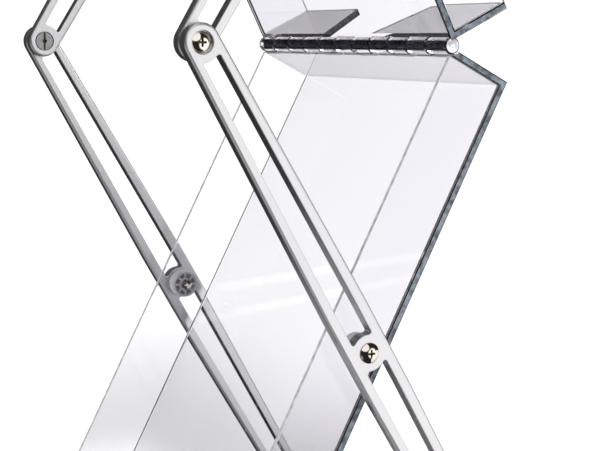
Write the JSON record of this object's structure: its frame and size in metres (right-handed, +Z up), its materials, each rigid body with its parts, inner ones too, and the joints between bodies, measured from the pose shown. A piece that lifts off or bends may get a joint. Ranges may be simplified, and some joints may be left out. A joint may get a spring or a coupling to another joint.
{
  "type": "folding magazine rack",
  "caption": "Free-standing zig-zag magazine rack: clear A4 pockets hinged corner to corner on crossed slotted arms, between two panels, folding flat.",
  "frame": {"origin": "on the floor under the middle of the base panel", "axes": "+Z up, +X along the panels towards their rail ends, +Y across the width"},
  "size_m": [0.4052, 0.2676, 1.275],
  "materials": {
    "anodised_aluminium": "satin anodised, fine lengthwise grain",
    "clear_acrylic": "clear, polished edges",
    "nickel_screw": "bright nickel plate",
    "steel_pin": "bright drawn steel",
    "zinc_nut": "dull zinc plate",
    "grey_plastic": "moulded, slightly glossy",
    "black_rubber": "matt"
  },
  "bodies": {
    "base": {"base_panel": "anodised_aluminium", "base_hinge_bar": "anodised_aluminium", "base_hinge_pin": "steel_pin", "foot_strip_left": "black_rubber", "foot_strip_right": "black_rubber"},
    "pocket_1": {"pocket_sheet_1": "clear_acrylic", "pocket_wall_1_near": "clear_acrylic", "pocket_wall_1_far": "clear_acrylic", "pivot_screw_1_near": "nickel_screw", "pivot_screw_1_far": "nickel_screw", "pivot_spacer_1_near": "grey_plastic", "pivot_spacer_1_far": "grey_plastic", "hinge_pin_1": "steel_pin"},
    "arm_1_near": {"arm_1_near": "anodised_aluminium", "elbow_screw_1_near": "nickel_screw", "base_roller_near": "grey_plastic"},
    "arm_1_far": {"arm_1_far": "anodised_aluminium", "elbow_screw_1_far": "nickel_screw", "base_roller_far": "grey_plastic"},
    "pocket_2": {"pocket_sheet_2": "clear_acrylic", "pocket_wall_2_near": "clear_acrylic", "pocket_wall_2_far": "clear_acrylic", "pivot_screw_2_near": "nickel_screw", "pivot_screw_2_far": "nickel_screw", "hinge_pin_2": "steel_pin"},
    "arm_2_near": {"arm_2_near": "anodised_aluminium", "elbow_nut_1_near": "zinc_nut", "elbow_nut_2_near": "zinc_nut"},
    "arm_2_far": {"arm_2_far": "anodised_aluminium", "elbow_nut_1_far": "zinc_nut", "elbow_nut_2_far": "zinc_nut"},
    "pocket_3": {"pocket_sheet_3": "clear_acrylic", "pocket_wall_3_near": "clear_acrylic", "pocket_wall_3_far": "clear_acrylic", "pivot_screw_3_near": "nickel_screw", "pivot_screw_3_far": "nickel_screw", "pivot_spacer_3_near": "grey_plastic", "pivot_spacer_3_far": "grey_plastic", "hinge_pin_3": "steel_pin"},
    "arm_3_near": {"arm_3_near": "anodised_aluminium", "elbow_screw_2_near": "nickel_screw", "elbow_screw_3_near": "nickel_screw"},
    "arm_3_far": {"arm_3_far": "anodised_aluminium", "elbow_screw_2_far": "nickel_screw", "elbow_screw_3_far": "nickel_screw"},
    "pocket_4": {"pocket_sheet_4": "clear_acrylic", "pocket_wall_4_near": "clear_acrylic", "pocket_wall_4_far": "clear_acrylic", "pivot_screw_4_near": "nickel_screw", "pivot_screw_4_far": "nickel_screw", "top_hinge_pin": "steel_pin"},
    "arm_4_near": {"arm_4_near": "anodised_aluminium", "elbow_nut_3_near": "zinc_nut", "top_roller_near": "grey_plastic"},
    "arm_4_far": {"arm_4_far": "anodised_aluminium", "elbow_nut_3_far": "zinc_nut", "top_roller_far": "grey_plastic"},
    "top": {"top_panel": "anodised_aluminium", "top_hinge_bar": "anodised_aluminium"}
  },
  "joints": [
    {"name": "fold", "type": "hinge", "parent": "base", "child": "pocket_1", "pos_m": [-0.1548, 0, 0.0226], "axis": [0, 1, 0], "range_deg": [0, 63.2]},
    {"name": "pocket_2_hinge", "type": "hinge", "parent": "pocket_1", "child": "pocket_2", "pos_m": [-0.04352, 0, 0.33162], "axis": [0, 1, 0], "range_deg": [-126.4, 0]},
    {"name": "pocket_3_hinge", "type": "hinge", "parent": "pocket_2", "child": "pocket_3", "pos_m": [-0.1548, 0, 0.64064], "axis": [0, 1, 0], "range_deg": [0, 126.4]},
    {"name": "pocket_4_hinge", "type": "hinge", "parent": "pocket_3", "child": "pocket_4", "pos_m": [-0.04352, 0, 0.94965], "axis": [0, 1, 0], "range_deg": [-126.4, 0]},
    {"name": "top_hinge", "type": "hinge", "parent": "pocket_4", "child": "top", "pos_m": [-0.1548, 0, 1.25867], "axis": [0, 1, 0], "range_deg": [0, 63.2]},
    {"name": "arm_1_near_pivot", "type": "hinge", "parent": "pocket_1", "child": "arm_1_near", "pos_m": [-0.09916, 0, 0.17711], "axis": [0, 1, 0], "range_deg": [-116.2, 0]},
    {"name": "arm_1_far_pivot", "type": "hinge", "parent": "pocket_1", "child": "arm_1_far", "pos_m": [-0.09916, 0, 0.17711], "axis": [0, 1, 0], "range_deg": [-116.2, 0]},
    {"name": "arm_2_near_pivot", "type": "hinge", "parent": "pocket_2", "child": "arm_2_near", "pos_m": [-0.09916, 0, 0.48613], "axis": [0, 1, 0], "range_deg": [0, 116.2]},
    {"name": "arm_2_far_pivot", "type": "hinge", "parent": "pocket_2", "child": "arm_2_far", "pos_m": [-0.09916, 0, 0.48613], "axis": [0, 1, 0], "range_deg": [0, 116.2]},
    {"name": "arm_3_near_pivot", "type": "hinge", "parent": "pocket_3", "child": "arm_3_near", "pos_m": [-0.09916, 0, 0.79514], "axis": [0, 1, 0], "range_deg": [-116.2, 0]},
    {"name": "arm_3_far_pivot", "type": "hinge", "parent": "pocket_3", "child": "arm_3_far", "pos_m": [-0.09916, 0, 0.79514], "axis": [0, 1, 0], "range_deg": [-116.2, 0]},
    {"name": "arm_4_near_pivot", "type": "hinge", "parent": "pocket_4", "child": "arm_4_near", "pos_m": [-0.09916, 0, 1.10416], "axis": [0, 1, 0], "range_deg": [0, 116.2]},
    {"name": "arm_4_far_pivot", "type": "hinge", "parent": "pocket_4", "child": "arm_4_far", "pos_m": [-0.09916, 0, 1.10416], "axis": [0, 1, 0], "range_deg": [0, 116.2]}
  ],
  "couplings": [
    {"joint": "pocket_2_hinge", "follows": "fold", "ratio": -2},
    {"joint": "pocket_3_hinge", "follows": "fold", "ratio": 2},
    {"joint": "pocket_4_hinge", "follows": "fold", "ratio": -2},
    {"joint": "top_hinge", "follows": "fold", "ratio": 1},
    {"joint": "arm_1_near_pivot", "follows": "fold", "ratio": -1.8357},
    {"joint": "arm_1_far_pivot", "follows": "fold", "ratio": -1.8357},
    {"joint": "arm_2_near_pivot", "follows": "fold", "ratio": 1.8357},
    {"joint": "arm_2_far_pivot", "follows": "fold", "ratio": 1.8357},
    {"joint": "arm_3_near_pivot", "follows": "fold", "ratio": -1.8357},
    {"joint": "arm_3_far_pivot", "follows": "fold", "ratio": -1.8357},
    {"joint": "arm_4_near_pivot", "follows": "fold", "ratio": 1.8357},
    {"joint": "arm_4_far_pivot", "follows": "fold", "ratio": 1.8357}
  ]
}
